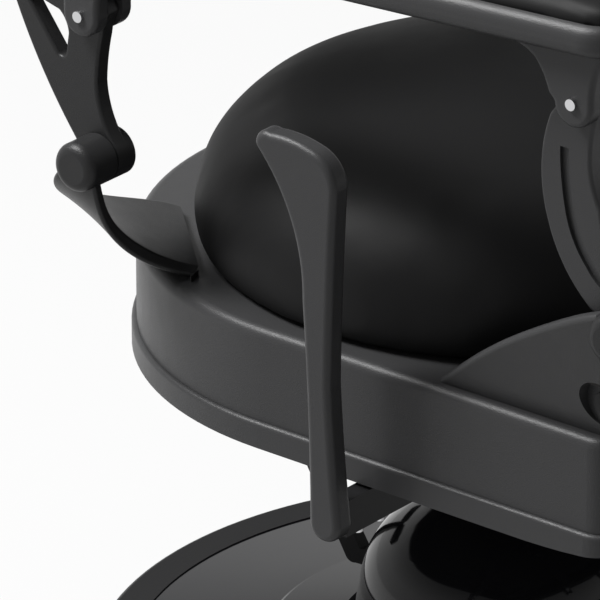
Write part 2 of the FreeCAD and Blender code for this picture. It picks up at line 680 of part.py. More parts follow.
def make_apron():
    apron = Piece("seat_apron")
    apron.pad("XY_Plane", [pan_loop("0", "pan_corner"), pan_loop("ledge_width", "12")], PAN_FOOT,
              "pan_depth")
    apron.cut("XY_Plane", [pan_loop("pan_wall", "pan_corner-pan_wall")], PAN_FOOT,
              "pan_depth-pan_wall")
    top = size(LEDGE_Z)
    reach = size("pan_half_width") - 1

    def is_outer_rim(edge):
        box = edge.BoundBox
        on_top = abs(box.ZMin - top) < 0.01 and abs(box.ZMax - top) < 0.01
        far = max(abs(box.XMin), abs(box.XMax)) > reach or box.YMin < 1 - size("pan_front")
        return on_top and far

    apron.round_edges("pan_rim_round", is_outer_rim)
    apron.pad("XY_Plane", [pan_loop("0-lip_proud", "pan_corner+lip_proud"),
                           pan_loop("pan_wall/2", "pan_corner-pan_wall/2")], PAN_FOOT, "lip_height")
    lip_top = size("%s+lip_height" % PAN_FOOT)

    def is_lip_edge(edge):
        box = edge.BoundBox
        level = abs(box.ZMin - lip_top) < 0.01 and abs(box.ZMax - lip_top) < 0.01
        return level and touches_lip(box)

    def touches_lip(box):
        """An outer edge of the lip reaches past the apron's wall."""
        wide = max(abs(box.XMin), abs(box.XMax)) > size("pan_half_width") + 1
        return wide or box.YMin < -size("pan_front") - 1

    apron.round_edges("lip_proud-0.3", is_lip_edge)
    rise = 7
    apron.cut("YZ_Plane", [side([("pan_front-90", "%s-1" % PAN_FOOT), ("pan_front-90", PAN_FOOT),
                                 ("pan_front+10", "%s+%d" % (PAN_FOOT, rise), "0-2"),
                                 ("pan_front+10", "%s-1" % PAN_FOOT)])],
              "0-pan_half_width-20", "2*pan_half_width+40")
    apron.done()


def make_cushion():
    seat = Piece("seat_cushion")
    low = "0.3"
    crown_radius = "(cushion_radius*0.76)"
    crown_rise = "(cushion_height*0.22)"
    crown_bulge = "0-" + ball_bulge(crown_radius, crown_rise)
    seat.turn([[("0", low), ("cushion_radius-8", low),
                ("cushion_radius", "cushion_height*0.18", "0-2"),
                (crown_radius, "cushion_height-%s" % crown_rise, "0-cushion_radius*0.07"),
                ("0", "cushion_height", crown_bulge)]])
    node("seat_cushion", seat.body)
    put(seat.body, "0", "0-cushion_forward", LEDGE_Z)


make_seat_frame()
make_apron()
make_cushion()


# Pads: crowned forms whose sides draw in towards the board they lie on.

# share of the pad's thickness, and how far the outline is drawn in there, as a share of the thickness
PAD_PROFILE = [(0.0, 0.12), (0.16, 0.03), (0.36, 0.0), (0.58, 0.06), (0.78, 0.26), (0.91, 0.56), (1.0, 1.05)]


def crowned(label, loop_at, start, thick, upward):
    """Loft of drawn-in outlines; an upward pad grows along Z, the others grow towards the front."""
    wires = []
    for share, draw in PAD_PROFILE:
        rise = size("%s+(%s)*%.3f" % (start, thick, share))

        def stand(point, level=rise):
            if upward:
                return FreeCAD.Vector(point.x, point.y, level)
            return FreeCAD.Vector(point.x, -level, point.y)

        wires.append(wire(loop_at("(%s)*%.3f" % (thick, draw)), stand))
    pad = doc.addObject("Part::Feature", label + "_form")
    pad.Shape = Part.makeLoft(wires, True, True)
    return node(label, pad)


# Brackets: cast tongues that rise from the ledge to the pivot bosses.

def corner(forward, out, height):
    """Point of the sitter's right side."""
    return FreeCAD.Vector(-out, -forward, height)


def loft(sections):
    wires = []
    for section in sections:
        points = [corner(*point) for point in section]
        wires.append(Part.makePolygon(points + points[:1]))
    return Part.makeLoft(wires, True, False)


def boss_shape(forward):
    length = size("boss_length")
    end = corner(forward, size(BOSS_IN), size(PIVOT_Z))
    return Part.makeCylinder(size("boss_radius"), length, end, FreeCAD.Vector(-1, 0, 0))


def pin_bore(forward):
    end = corner(forward, size(BOSS_IN) - 1, size(PIVOT_Z))
    return Part.makeCylinder(size("pivot_pin_radius"), size("boss_length") + 2, end,
                             FreeCAD.Vector(-1, 0, 0))


def bracket_node(label, solids, forward):
    """Join the bracket's forms, bore it for its pin and mirror it for the other side."""
    shape = solids[0].multiFuse(solids[1:] + [boss_shape(forward)]).cut(pin_bore(forward))
    feature = doc.addObject("Part::Feature", label + "_right_form")
    feature.Shape = shape.removeSplitter()
    node(label + "_right", feature)
    mirrored(label + "_left", feature)


def make_rear_bracket():
    """Curved sheet that sweeps from a foot along the ledge out and up to the boss."""
    ledge = size(LEDGE_Z)
    rise = size("pivot_rise")
    forward = -size("rear_pivot_back")
    boss_mid = size(BOSS_IN) + size("boss_length") / 2
    thick = size("sheet_thick")
    # height as a share of the rise, front and rear edge as forward and outward steps from the boss,
    # and the way through the sheet as shares of its thickness
    steps = [(0.01, (54.5, -58), (-36.5, -144), (-0.4, -1.5, 0.8)),
             (0.14, (33.5, -34), (-49.5, -113), (-0.1, -1.1, 0.85)),
             (0.33, (21.5, -13), (-52.5, -65), (0.0, -1.0, 0.75)),
             (0.55, (16.5, 1), (-48.5, -25), (0.0, -1.0, 0.4)),
             (0.79, (14.5, 8), (-34.5, 3), (0.0, -1.0, 0.1)),
             (0.96, (10.5, 8), (-16.5, 8), (0.0, -1.0, 0.0))]
    sections = []
    for share, front, rear, through in steps:
        outer = []
        for step in (front, rear):
            outer.append((forward + step[0], boss_mid + step[1], ledge + rise * share))
        inner = [tuple(place + thick * part for place, part in zip(point, through)) for point in outer]
        sections.append([outer[0], outer[1], inner[1], inner[0]])
    plain_sheet = loft(sections)
    long_edges = [edge for edge in plain_sheet.Edges if edge.BoundBox.ZLength > rise * 0.5]
    sheet_form = plain_sheet.makeFillet(thick * 0.3, long_edges)
    low = sections[0]
    plan = [corner(point[0], point[1], ledge) for point in low]
    foot = Part.Face(Part.makePolygon(plan + plan[:1])).extrude(FreeCAD.Vector(0, 0, thick * 0.55))
    bracket_node("rear_bracket", [sheet_form, foot], forward)


def make_front_bracket():
    ledge = size(LEDGE_Z)
    pivot = size(PIVOT_Z)
    forward = size("front_pivot")
    half = size("tongue_thick") / 2
    base_out = size("pan_half_width") - 17.5
    boss_mid = size(BOSS_IN) + size("boss_length") / 2
    sections = []
    # distance behind the pivot and height of the top edge above the ledge
    for back, rise in ((195, 3), (156, 36), (115, 66), (75, 91), (37, 112), (16, 121)):
        lean_out = (boss_mid - base_out) * rise / (pivot - ledge)
        sections.append([(forward - back, base_out - half, ledge), (forward - back, base_out + half, ledge),
                         (forward - back, base_out + lean_out + half, ledge + rise),
                         (forward - back, base_out + lean_out - half, ledge + rise)])
    plain_leaf = loft(sections)
    least_rise = size("pivot_rise") * 0.5
    top_edges = [edge for edge in plain_leaf.Edges
                 if edge.BoundBox.YLength > forward * 0.3 and edge.BoundBox.ZLength > least_rise]
    leaf = plain_leaf.makeFillet(half * 0.6, top_edges)
    last = sections[-1]
    nose = loft([last, [(forward + 12, point[1], ledge + 40 if point[2] < ledge + 1 else pivot + 6)
                        for point in last]])
    eye_place = corner(forward - 33, base_out + 8.5, ledge + 31)
    eye = Part.makeCylinder(21, 30, eye_place, FreeCAD.Vector(-1, 0, 0))
    room = Part.makeCylinder(size("boss_radius") + 3, 60, corner(forward, size(BOSS_IN) - 60, pivot),
                             FreeCAD.Vector(-1, 0, 0))
    web = leaf.fuse(nose).cut(eye).cut(room)
    bracket_node("front_bracket", [web], forward)

    bolts = []
    for name, toward in (("bracket_bolt_right", -1), ("bracket_bolt_left", 1)):
        bolt = doc.addObject("Part::Prism", name)
        bolt.Polygon = 6
        bind(bolt, Circumradius="bolt_radius*2.2", Height="bolt_radius*1.2")
        bolt.Placement.Rotation = FreeCAD.Rotation(FreeCAD.Vector(0, 1, 0), 90 * toward)
        out = "%d*(pan_half_width-9)" % toward
        put(bolt, out, "0-front_pivot+33", "%s+31" % LEDGE_Z)
        bolts.append(bolt)
    group("bracket_bolts", bolts)


def make_pivots():
    """Pins and domed caps of the four side pivots."""
    pins = []
    caps = []
    for label, forward in (("rear", "0-rear_pivot_back"), ("front", "front_pivot")):
        outer = "(%s+boss_length)" % BOSS_IN
        inner = LINK_IN if label == "rear" else "leg_plane"
        reach = "(hub_length-link_thick)" if label == "rear" else "0"
        length = "%s-(%s)+%s" % (outer, inner, reach)
        for hand, x, cap_x, toward in (("right", "0-%s" % outer, "0-%s" % outer, -1),
                                       ("left", "%s-(%s)" % (outer, length), outer, 1)):
            pins.append(rod_x("%s_pin_%s" % (label, hand), "pivot_pin_radius", x, length, forward, PIVOT_Z))
            caps.append(dome("%s_cap_%s" % (label, hand), cap_x, forward, PIVOT_Z, "boss_radius",
                             "cap_height", toward))
    group("pivot_pins", pins)
    group("boss_caps", caps)


make_rear_bracket()
make_front_bracket()
make_pivots()


# Back castings: Y shaped side arms with a triangular opening.

def make_back_casting():
    pivot = ("(0-rear_pivot_back)", PIVOT_Z)

    def spot(forward, height, *bulge):
        return ("%s+(%s)" % (pivot[0], forward), "%s+(%s)" % (pivot[1], height)) + bulge

    pin_f = "0-rear_pin_back"
    pin_z = "rear_pin_rise"
    outline = side([
        spot("0-boss_radius", 0), spot(-25, 9), spot(-84, 109, "3.5"), spot(-112, 176, "1"), spot(-104, 194),
        spot(-84, 186), spot(-72, 152, "0-3"), spot("%s-4" % pin_f, "%s+lug_radius-1.5" % pin_z, "0-2"),
        spot("%s+lug_radius-1.5" % pin_f, pin_z, "4.5"), spot(3.5, 100, "0-1"), spot(-2, 60, "0-1"),
        spot("boss_radius-4", 12, "0-4"), spot("0-boss_radius", 0, "boss_radius-3")])
    opening = side([spot(-35, 69), spot(-77, 124), spot(-40, 112, "0-1"), spot(-31, 95, "2")])
    casting = cast_plate("back_casting_right", [outline, opening], LINK_OUT, "link_thick", "cast_corner",
                         "cast_round")
    casting.pad("YZ_Plane", [side_circle(*pivot, "boss_radius")], "0-%s" % LINK_OUT, "hub_length")
    casting.cut("YZ_Plane", [side_circle(*pivot, "pivot_pin_radius+running_gap")],
                "0-%s-1" % LINK_OUT, "hub_length+2")
    casting.cut("YZ_Plane", [side_circle(*REAR_PIN, "arm_pin_radius+running_gap")],
                "0-%s-1" % LINK_OUT, "link_thick+2")
    casting.done()
    mirrored("back_casting_left", casting.body)


# Front struts: crescents with a groove, hung on the front pivots.

def make_front_strut():
    pivot = ("front_pivot", PIVOT_Z)

    def spot(forward, height, *bulge):
        return ("%s+(%s)" % (pivot[0], forward), "%s+(%s)" % (pivot[1], height)) + bulge

    pin_f = "0-front_pin_back"
    pin_z = "front_pin_rise"
    outline = side([
        spot("%s-lug_radius+1" % pin_f, pin_z), spot("%s+lug_radius-1" % pin_f, pin_z, "lug_radius-1.5"),
        spot(-42.4, 118, "0-3"), spot(-32.6, 85, "0-2"), spot("boss_radius-1", 6, "0-10"),
        spot("0-boss_radius+1", -6, "boss_radius-1"), spot(-40.6, 3.6), spot(-81.3, 64, "5.5"),
        spot(-80.5, 150, "7.5")])
    strut = cast_plate("front_strut_right", [outline], LINK_OUT, "link_thick", "cast_corner", "cast_round")
    strut.pad("YZ_Plane", [side_circle(*pivot, "boss_radius")], "0-%s" % LINK_OUT,
              "%s-leg_plane-leg_arm_thick" % LINK_OUT)
    groove = side([
        spot(-70, 127), spot(-64.6, 78, "0-1.3"), spot(-44.5, 37, "0-3"), spot(-31.4, 24, "0-0.8"),
        spot(-26, 29), spot(-38.5, 43, "0.8"), spot(-57, 82, "3"), spot(-62, 127, "1.3")])
    strut.cut("YZ_Plane", [groove], "0-%s" % LINK_OUT, "groove_depth")
    strut.cut("YZ_Plane", [side_circle(*pivot, "pivot_pin_radius+running_gap")],
              "0-%s-1" % LINK_OUT, "%s-leg_plane+2" % LINK_OUT)
    strut.cut("YZ_Plane", [side_circle(*FRONT_PIN, "arm_pin_radius+arm_pin_gap")],
              "0-%s-1" % LINK_OUT, "link_thick+2")
    strut.done()
    mirrored("front_strut_left", strut.body)


make_back_casting()
make_front_strut()


# Armrests: sloping trays with two forked legs, pinned to the castings.

TRAY_Z = "(%s+tray_rise)" % FRONT_PIN[1]


def tray_loop(inset):
    """Plan of the armrest tray, with a round paddle end at the front."""
    half = "(tray_width/2-(%s))" % inset
    front = "(tray_front-(%s))" % inset
    rear = "(tray_rear+(%s))" % inset
    middle = "(0-link_plane-1)"
    bulge = "0-%.6f*%s" % (QUARTER, half)
    cut = "(%s*0.35)" % half
    return [("%s-%s" % (middle, half), "0-%s-%s" % (rear, cut)),
            ("%s-%s" % (middle, half), "0-%s+%s" % (front, half)),
            (middle, "0-%s" % front, bulge), ("%s+%s" % (middle, half), "0-%s+%s" % (front, half), bulge),
            ("%s+%s" % (middle, half), "0-%s-%s" % (rear, cut)),
            ("%s+%s-%s" % (middle, half, cut), "0-%s" % rear, "0-%s*0.2" % cut),
            ("%s-%s+%s" % (middle, half, cut), "0-%s" % rear)]


def slope(item, height):
    """Tilt a level armrest piece about the front armrest pin's station."""
    item.Placement.Rotation = FreeCAD.Rotation(FreeCAD.Vector(-1, 0, 0), size("tray_slope"))
    bind(item, Placement__Rotation__Angle="tray_slope")
    return put(item, "0", "0", height)


def make_armrest():
    level = "(%s-(%s)*tan(tray_slope))" % (TRAY_Z, FRONT_PIN[0])
    tray = Piece("armrest_tray_form")
    tray.pad("XY_Plane", [tray_loop("0")], "0", "tray_thick")
    tray.round_edges("tray_thick*0.42", lambda edge: edge.BoundBox.ZLength < 0.01)
    tray.cut("XY_Plane", [tray_loop("tray_edge")], "tray_thick-tray_pocket", "tray_pocket+1")
    slope(tray.body, level)

    def leg(name, pin, slot_rise, outline):
        outer = "(link_plane+lug_width/2)"
        form = cast_plate(name, [outline], outer, "lug_width", "cast_corner*1.5", "cast_round*1.5",
                          (*pin, "arm_pin_radius"))
        slot_top = "%s+(%s)" % (pin[1], slot_rise)
        slot = side([("%s-60" % pin[0], "%s-45" % pin[1]), ("%s-60" % pin[0], slot_top),
                     ("%s+60" % pin[0], slot_top), ("%s+60" % pin[0], "%s-45" % pin[1])])
        form.cut("YZ_Plane", [slot], "0-%s-side_gap" % LINK_OUT, "link_thick+2*side_gap")
        return form.body

    def under(forward):
        """Height just inside the sloping tray's underside."""
        return "%s+(%s)*tan(tray_slope)+7" % (level, forward)

    f, z = FRONT_PIN
    front = leg("armrest_front_leg", FRONT_PIN, "lug_radius+2", side([
        ("%s-95" % f, under("%s-95" % f)), ("%s-62" % f, "%s+35" % z), ("%s-36" % f, "%s+27" % z, "2.5"),
        ("%s-23" % f, "%s+3" % z, "1.5"), ("%s-lug_radius" % f, "%s-2" % z),
        ("%s+lug_radius" % f, "%s-2" % z, "0-lug_radius+0.1"), ("%s+34" % f, under("%s+34" % f), "5")]))
    f, z = REAR_PIN
    rear = leg("armrest_rear_leg", REAR_PIN, "lug_radius+24", side([
        ("%s-28" % f, under("%s-28" % f)), ("%s-lug_radius" % f, z, "3"),
        ("%s+lug_radius" % f, z, "0-lug_radius+0.1"), ("%s+52" % f, under("%s+52" % f), "10")]))
    arm = joined("armrest_right", [tray.body, front, rear])
    mirrored("armrest_left", arm)

    pad = crowned("arm_pad_right", lambda inset: tray_loop("tray_edge+0.5+%s*0.8" % inset),
                  "tray_thick-tray_pocket+0.3", "arm_pad_height", True)
    slope(pad, level)
    mirrored("arm_pad_left", pad)

    pins = []
    outer = "(link_plane+lug_width/2+arm_pin_proud)"
    for name, pin in (("rear_arm_pin", REAR_PIN), ("front_arm_pin", FRONT_PIN)):
        pins.append(rod_x(name, "arm_pin_radius", "0-%s" % outer, "lug_width+2*arm_pin_proud", *pin))
    group("armrest_pins_right", pins)
    mirrored("armrest_pins_left", nodes["armrest_pins_right"])


make_armrest()


# Hand lever on the sitter's right: flat bar and shaft under the apron, hooked lever outside.

def make_lever():
    head = "lever_length"

    def spot(forward, height, *bulge):
        return ("lever_forward+(%s)" % forward, "%s+(%s)" % (LEVER_Z, height)) + bulge

    lever = cast_plate("hand_lever", [side([
        spot(-14, 0), spot(-22, "%s-128" % head, "0-1.5"), spot(-66, "%s-14" % head, "0-12"),
        spot(-53, "%s-0.5" % head, "6"), spot(-13, "%s-4" % head, "2"), spot(11, "%s-33" % head, "6.5"),
        spot(5, "%s-195" % head, "0-1"), spot(15, 0, "0-1"), spot(-14, 0, "14.4")])],
        "lever_plane+lever_thick", "lever_thick", "lever_thick*0.4", "lever_thick*0.28")
    lever.done()

    low = "(%s-bar_height/2)" % LEVER_Z
    bar = Piece("lever_bar")
    bar.pad("YZ_Plane", [side([("lever_forward-bar_thick/2", low), ("lever_forward+bar_thick/2", low),
                               ("lever_forward+bar_thick/2", "%s+bar_height" % low),
                               ("lever_forward-bar_thick/2", "%s+bar_height" % low)])],
            "0-lever_plane", "bar_length")
    bar.pad("YZ_Plane", [side_circle("lever_forward", LEVER_Z, "shaft_radius")],
            "0-lever_plane+bar_length", "lever_plane-bar_length+8")
    cam = side([spot(0, -9), spot(0, 9), spot("gas_anchor-lever_forward-20", 9),
                spot("gas_anchor-lever_forward-20", -4)])
    bar.pad("YZ_Plane", [cam], "0-8", "16")
    bar.done()

    screws = []
    for number, place in enumerate((20, 46)):
        screw = doc.addObject("Part::Cylinder", "lever_screw_%d" % number)
        bind(screw, Radius="4", Height="3")
        put(screw, "0-lever_plane+%d" % place, "0-lever_forward-3", "%s-3" % low)
        screws.append(screw)
    group("lever_screws", screws)

    bearing = Piece("lever_bearing")
    hang = "(shaft_radius+10)"
    bearing.pad("YZ_Plane", [side([
        ("lever_forward-%s" % hang, LEVER_Z), ("lever_forward-%s" % hang, PLATE_Z),
        ("lever_forward+%s" % hang, PLATE_Z), ("lever_forward+%s" % hang, LEVER_Z),
        ("lever_forward-%s" % hang, LEVER_Z, "%s-0.1" % hang)])], "0-rail_spacing-20", "34")
    bearing.cut("YZ_Plane", [side_circle("lever_forward", LEVER_Z, "shaft_radius+running_gap")],
                "0-rail_spacing-21", "36")
    bearing.done()


# Gas spring that holds the recline: cylinder on the seat, rod on the leg rest.

def make_gas_spring():
    rod_end = ("front_pivot-7", GAS_Z)
    eye = 10
    anchor = Piece("gas_anchor_clevis")
    ear = side([("gas_anchor-12", GAS_Z), ("gas_anchor-12", PLATE_Z), ("gas_anchor+12", PLATE_Z),
                ("gas_anchor+12", GAS_Z), ("gas_anchor-12", GAS_Z, "11.9")])
    anchor.pad("XY_Plane", [rectangle(-15, "0-gas_anchor-12", 15, "0-gas_anchor+12")],
               "%s-6" % PLATE_Z, "6")
    anchor.pad("YZ_Plane", [ear], "0-15", "8")
    anchor.pad("YZ_Plane", [ear], "7", "8")
    anchor.cut("YZ_Plane", [side_circle("gas_anchor", GAS_Z, "gas_pin_radius")], "0-16", "32")
    anchor.done()
    node("gas_anchor_pin", rod_x("gas_pin_rod", "gas_pin_radius", "0-17", "34", "gas_anchor", GAS_Z))

    start = "(gas_anchor+%d+3)" % eye
    cylinder = Piece("gas_cylinder")
    cylinder.pad("YZ_Plane", [side_circle("gas_anchor", GAS_Z, eye)], "0-6", "12")
    cylinder.pad("XZ_Plane", [circle(0, GAS_Z, "5.5")], "gas_anchor", "20")
    cylinder.pad("XZ_Plane", [circle(0, GAS_Z, "gas_radius")], start, "gas_length")
    cylinder.cut("XZ_Plane", [circle(0, GAS_Z, "gas_radius-2.5")], "%s+6" % start, "gas_length-14")
    cylinder.cut("XZ_Plane", [circle(0, GAS_Z, "gas_rod_radius+running_gap")],
                 "%s+gas_length-12" % start, "20")
    cylinder.cut("YZ_Plane", [side_circle("gas_anchor", GAS_Z, "gas_pin_radius+running_gap")], "0-20", "40")
    cylinder.done()

    rod = Piece("gas_rod")
    eye_radius = "(gas_pin_radius+gas_eye_gap+4)"
    rod.pad("YZ_Plane", [side_circle(*rod_end, eye_radius)], "0-6", "12")
    rod.pad("XZ_Plane", [circle(0, GAS_Z, "gas_rod_radius")], "%s+20" % start,
            "%s-%s-20-gas_pin_radius-gas_eye_gap-2" % (rod_end[0], start))
    rod.cut("YZ_Plane", [side_circle(*rod_end, "gas_pin_radius+gas_eye_gap")], "0-7", "14")
    rod.done()
    return rod_end


make_lever()
ROD_END = make_gas_spring()


# Leg rest: two arms on the front pivots, cross tube, calf board and a folding footplate.

def make_leg_rest():
    half = "(leg_arm_width/2)"
    eye = "(leg_arm_width/2+6)"
    arm = side_plate("leg_arm_right", [side([
        ("front_pivot-%s" % eye, PIVOT_Z), ("front_pivot+%s" % eye, PIVOT_Z, "%s-0.1" % eye),
        ("front_pivot+%s" % half, "%s-40" % PIVOT_Z, "0-2"), ("front_pivot+%s" % half, FOOT_Z),
        ("front_pivot-%s" % half, FOOT_Z, "%s-0.1" % half), ("front_pivot-%s" % half, "%s-40" % PIVOT_Z),
        ("front_pivot-%s" % eye, PIVOT_Z, "0-2")])], "leg_plane+leg_arm_thick", "leg_arm_thick")
    arm.cut("YZ_Plane", [side_circle("front_pivot", PIVOT_Z, "pivot_pin_radius+running_gap")],
            "0-leg_plane-leg_arm_thick-1", "leg_arm_thick+2")
    arm.cut("YZ_Plane", [side_circle("front_pivot", FOOT_Z, "foot_rod_radius")],
            "0-leg_plane-leg_arm_thick-1", "leg_arm_thick+2")
    arm.done()
    mirrored("leg_arm_left", arm.body)

    tube_z = "(%s-leg_tube_drop)" % PIVOT_Z
    tube = Piece("leg_cross_tube")
    tube.pad("YZ_Plane", [side_circle("front_pivot", tube_z, "leg_tube_radius")], "0-leg_plane",
             "2*leg_plane")
    ear = side([("front_pivot-22", GAS_Z), ("front_pivot-leg_tube_radius+2", tube_z),
                ("front_pivot+leg_tube_radius-2", tube_z), ("front_pivot+8", GAS_Z),
                ("front_pivot-22", GAS_Z, "12")])
    tube.pad("YZ_Plane", [ear], "0-15", "8")
    tube.pad("YZ_Plane", [ear], "7", "8")
    tube.pad("YZ_Plane", [side_circle(*ROD_END, "gas_pin_radius")], "0-15", "30")
    tube.done()

    board_f = "(front_pivot+leg_arm_width/2)"
    top = "(%s-calf_top_drop)" % PIVOT_Z
    wide = "(leg_plane+leg_arm_thick)"

    def calf_loop(inset):
        edge = "(%s-(%s))" % (wide, inset)
        low = "(%s-calf_height+(%s))" % (top, inset)
        high = "(%s-(%s))" % (top, inset)
        turn = "(calf_height*0.375-(%s)*0.8)" % inset
        bulge = "0-%.6f*%s" % (QUARTER, turn)
        return [("0-%s+%s" % (edge, turn), low), ("%s-%s" % (edge, turn), low),
                (edge, "%s+%s" % (low, turn), bulge), (edge, "%s-%s" % (high, turn)),
                ("%s-%s" % (edge, turn), high, bulge), ("0-%s+%s" % (edge, turn), high),
                ("0-%s" % edge, "%s-%s" % (high, turn), bulge), ("0-%s" % edge, "%s+%s" % (low, turn)),
                ("0-%s+%s" % (edge, turn), low, bulge)]

    board = Piece("calf_board")
    board.pad("XZ_Plane", [calf_loop("0")], board_f, "calf_board_thick")
    board.done()
    crowned("calf_pad", calf_loop, "%s+calf_board_thick+0.3" % board_f, "calf_pad_thick", False)

    rod = rod_x("footplate_rod_bar", "foot_rod_radius", "0-leg_plane-leg_arm_thick-3",
                "2*(leg_plane+leg_arm_thick+3)", "front_pivot", FOOT_Z)
    node("footplate_rod", rod)


def make_footplate():
    tube_radius = "(foot_rod_radius+6)"
    near = "(front_pivot+foot_rod_radius)"
    far = "(front_pivot+foot_rod_radius+foot_length)"
    low = "(%s-foot_rod_radius-6)" % FOOT_Z
    turn = "34"
    bulge = "0-%.6f*%s" % (QUARTER, turn)
    plate = Piece("footplate")
    outline = [("0-foot_half_width", "0-%s" % near), ("0-foot_half_width", "0-%s+%s" % (far, turn)),
               ("0-foot_half_width+%s" % turn, "0-%s" % far, bulge),
               ("foot_half_width-%s" % turn, "0-%s" % far),
               ("foot_half_width", "0-%s+%s" % (far, turn), bulge), ("foot_half_width", "0-%s" % near)]
    plate.pad("XY_Plane", [outline], low, "foot_thick")
    plate.pad("YZ_Plane", [side_circle("front_pivot", FOOT_Z, tube_radius)], "0-foot_half_width",
              "2*foot_half_width")
    plate.cut("YZ_Plane", [side_circle("front_pivot", FOOT_Z, "foot_rod_radius+running_gap")],
              "0-foot_half_width-1", "2*foot_half_width+2")
    plate.done()
    ribs = []
    rib_count = 5
    for number in range(rib_count):
        rib = doc.addObject("Part::Box", "foot_rib_%d" % number)
        bind(rib, Length="2*foot_half_width-70", Width="9", Height="tread_rib")
        back = "front_pivot+foot_rod_radius+foot_length*%.3f" % (0.2 + 0.15 * number)
        put(rib, "0-foot_half_width+35", "0-(%s)-4.5" % back, "%s+foot_thick" % low)
        ribs.append(rib)
    group("footplate_ribs", ribs)


make_leg_rest()
make_footplate()


# Back: board, pad and cross bar on the castings, drawn upright and then leaned back.

def back_loop(inset):
    """Front view of the back: half round below, straight sides, rounded top."""
    half = "(back_half_width-(%s))" % inset
    low = "(0+(%s))" % inset
    high = "(back_height-(%s))" % inset
    turn = "(back_half_width*0.55-(%s)*0.5)" % inset
    round_bulge = "0-%.6f*%s" % (QUARTER, half)
    turn_bulge = "0-%.6f*%s" % (QUARTER, turn)
    return [("0", low), (half, "%s+%s" % (low, half), round_bulge), (half, "%s-%s" % (high, turn)),
            ("%s-%s" % (half, turn), high, turn_bulge), ("0-%s+%s" % (half, turn), high),
            ("0-%s" % half, "%s-%s" % (high, turn), turn_bulge), ("0-%s" % half, "%s+%s" % (low, half)),
            ("0", low, round_bulge)]


def make_back():
    board = Piece("back_board")
    board.pad("XZ_Plane", [back_loop("2")], "0-back_board_thick", "back_board_thick")
    lean(board.done())

    lean(crowned("back_cushion", back_loop, "0.3", "back_pad_thick", False))

    bar = Piece("back_crossbar")
    bar.pad("XZ_Plane", [rectangle("0-%s" % LINK_IN, "72", LINK_IN, "72+crossbar_height")],
            "0-back_board_thick-crossbar_thick", "crossbar_thick")
    lean(bar.done())


def make_headrest():
    slot_mid = "(back_board_thick+7+post_thick/2)"
    socket_low = "(back_height-socket_height-40)"
    socket = Piece("headrest_socket")
    half = "(post_width/2+9)"
    outer = rectangle("0-%s" % half, "back_board_thick", half, "back_board_thick+14+post_thick")
    inner = rectangle("0-post_width/2-slide_gap", "%s-post_thick/2-slide_gap" % slot_mid,
                      "post_width/2+slide_gap", "%s+post_thick/2+slide_gap" % slot_mid)
    socket.pad("XY_Plane", [outer, inner], socket_low, "socket_height")
    screw = circle(0, "%s+socket_height/2" % socket_low, "4")
    socket.cut("XZ_Plane", [screw], "0-back_board_thick-16-post_thick", "9+post_thick/2")
    lean(socket.done())

    knob = Piece("headrest_knob")
    knob_f = "(0-back_board_thick-14-post_thick)"
    knob_z = "%s+socket_height/2" % socket_low
    knob.pad("XZ_Plane", [circle(0, knob_z, "4")], "%s-2" % knob_f, "8")
    knob.pad("XZ_Plane", [circle(0, knob_z, "knob_radius")], "%s-20" % knob_f, "18")
    lean(knob.done())

    top = "(back_height+62)"
    post = Piece("headrest_post")
    post.pad("XY_Plane", [rectangle("0-post_width/2", "%s-post_thick/2" % slot_mid, "post_width/2",
                                    "%s+post_thick/2" % slot_mid)], "%s-post_length" % top, "post_length")
    eye_z = "%s+6" % top
    post.pad("YZ_Plane", [circle(slot_mid, eye_z, "11")], "0-post_width/2", "post_width")
    post.cut("YZ_Plane", [circle(slot_mid, eye_z, "5")], "0-post_width", "2*post_width")
    lean(post.done())

    ear_in = "(post_width/2+0.6)"
    pin = doc.addObject("Part::Cylinder", "headrest_pin_rod")
    bind(pin, Radius="5", Height="2*(%s+9)" % ear_in)
    pin.Placement.Rotation = FreeCAD.Rotation(FreeCAD.Vector(0, 1, 0), 90)
    tilt = math.radians(size("back_lean"))
    along = "((%s)*%.9f+(%s)*%.9f)" % (slot_mid, math.cos(tilt), eye_z, math.sin(tilt))
    above = "((%s)*%.9f-(%s)*%.9f)" % (eye_z, math.cos(tilt), slot_mid, math.sin(tilt))
    put(pin, "0-(%s+9)" % ear_in, "back_rear+%s" % along, "%s+back_rise+%s" % (PIVOT_Z, above))
    node("headrest_pin", pin)

    yoke = Piece("headrest_yoke")
    front = "(0-4)"
    ear = [(front, "%s-14" % eye_z), (front, "%s+26" % eye_z), ("%s-2" % slot_mid, "%s+13" % eye_z),
           ("%s-2" % slot_mid, "%s-13" % eye_z, "14")]
    plate = rectangle("0-55", "%s-30" % eye_z, "55", "%s+40" % eye_z)
    yoke.pad("XZ_Plane", [plate], "0", "4")
    for start in ("0-%s-8" % ear_in, ear_in):
        yoke.pad("YZ_Plane", [ear], start, "8")
    yoke.cut("YZ_Plane", [circle(slot_mid, eye_z, "5+running_gap")], "0-%s-9" % ear_in, "2*%s+18" % ear_in)
    lean(yoke.done())

    def head_loop(inset):
        turn = "(head_height*0.48-(%s)*0.75)" % inset
        bulge = "0-%.6f*%s" % (QUARTER, turn)
        draw = "((%s)*0.75)" % inset
        low = "(%s-30+%s)" % (eye_z, draw)
        high = "(%s-30+head_height-%s)" % (eye_z, draw)
        wide = "(head_half_width-%s)" % draw
        return [("0-%s+%s" % (wide, turn), low), ("%s-%s" % (wide, turn), low),
                (wide, "%s+%s" % (low, turn), bulge), (wide, "%s-%s" % (high, turn)),
                ("%s-%s" % (wide, turn), high, bulge), ("0-%s+%s" % (wide, turn), high),
                ("0-%s" % wide, "%s-%s" % (high, turn), bulge), ("0-%s" % wide, "%s+%s" % (low, turn)),
                ("0-%s+%s" % (wide, turn), low, bulge)]

    lean(crowned("headrest_pad", head_loop, "4.3", "head_pad_thick", False))


make_back()
make_headrest()


